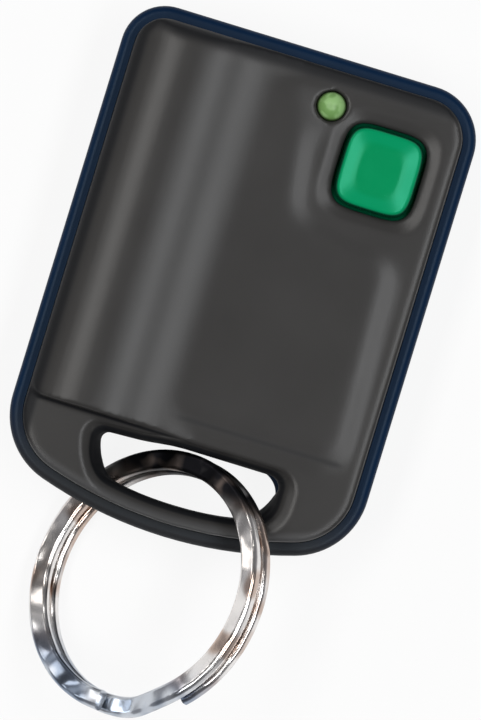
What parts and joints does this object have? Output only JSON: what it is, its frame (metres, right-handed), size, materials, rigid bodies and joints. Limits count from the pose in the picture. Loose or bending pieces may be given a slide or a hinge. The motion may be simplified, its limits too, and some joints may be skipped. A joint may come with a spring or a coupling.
{
  "type": "alarm key fob remote control",
  "caption": "Pocket alarm remote: navy tub, dark grey face with battery barrel, green push button, small indicator lamp and a split key ring through the end slot.",
  "frame": {"origin": "on the flat back face, under the middle of the case", "axes": "+Z out of the button face, +Y away from the key ring, +X to the right seen from the front"},
  "size_m": [0.038, 0.0712, 0.0193],
  "materials": {
    "case_navy": "fine satin grain, navy black",
    "case_grey": "fine satin grain, dark warm grey",
    "button_green": "glossy green",
    "led_resin": "diffused pale green resin",
    "ring_nickel": "bright nickel plate, lightly worn",
    "board": "green solder mask",
    "black_mould": "black moulding compound",
    "tinned": "tinned metal",
    "plunger_plastic": "moulded plastic",
    "spring_bronze": "phosphor bronze leaf",
    "battery_steel": "nickel-plated steel can",
    "battery_sleeve": "shrunk plastic sleeve, bare",
    "resistor": "black ceramic chip",
    "capacitor": "tan ceramic chip",
    "copper": "copper strip",
    "screw_steel": "zinc-plated steel"
  },
  "bodies": {
    "case": {"rear_cover": "case_navy", "front_cover": "case_grey", "indicator_led": "led_resin", "led_leads": "tinned", "circuit_board": "board", "switch_base": "black_mould", "switch_cover": "tinned", "switch_dome": "tinned", "switch_terminals": "tinned", "battery_can": "battery_steel", "battery_cap": "battery_steel", "battery_sleeve": "battery_sleeve", "positive_contact": "spring_bronze", "negative_contact": "spring_bronze", "encoder_chip": "black_mould", "encoder_leads": "tinned", "resonator_can": "tinned", "resonator_leads": "tinned", "transistor": "black_mould", "transistor_leads": "tinned", "chip_resistors": "resistor", "chip_capacitors": "capacitor", "antenna_loop": "copper", "case_screws": "screw_steel"},
    "button": {"button_cap": "button_green"},
    "plunger": {"switch_plunger": "plunger_plastic"},
    "ring": {"key_ring": "ring_nickel"}
  },
  "joints": [
    {"name": "button_press", "type": "slide", "parent": "case", "child": "button", "axis": [0, 0, -1], "range_m": [0, 0.00025], "stiffness_N_per_m": 4000, "springref_m": -0.0001},
    {"name": "plunger_press", "type": "slide", "parent": "case", "child": "plunger", "axis": [0, 0, -1], "range_m": [0, 0.00025], "deforming": ["switch_dome"]},
    {"name": "ring_swing", "type": "hinge", "parent": "case", "child": "ring", "pos_m": [0, -0.02465, 0.00855], "axis": [1, 0, 0], "range_deg": [-40, 20]}
  ],
  "couplings": [
    {"joint": "plunger_press", "follows": "button_press", "ratio": 1}
  ]
}
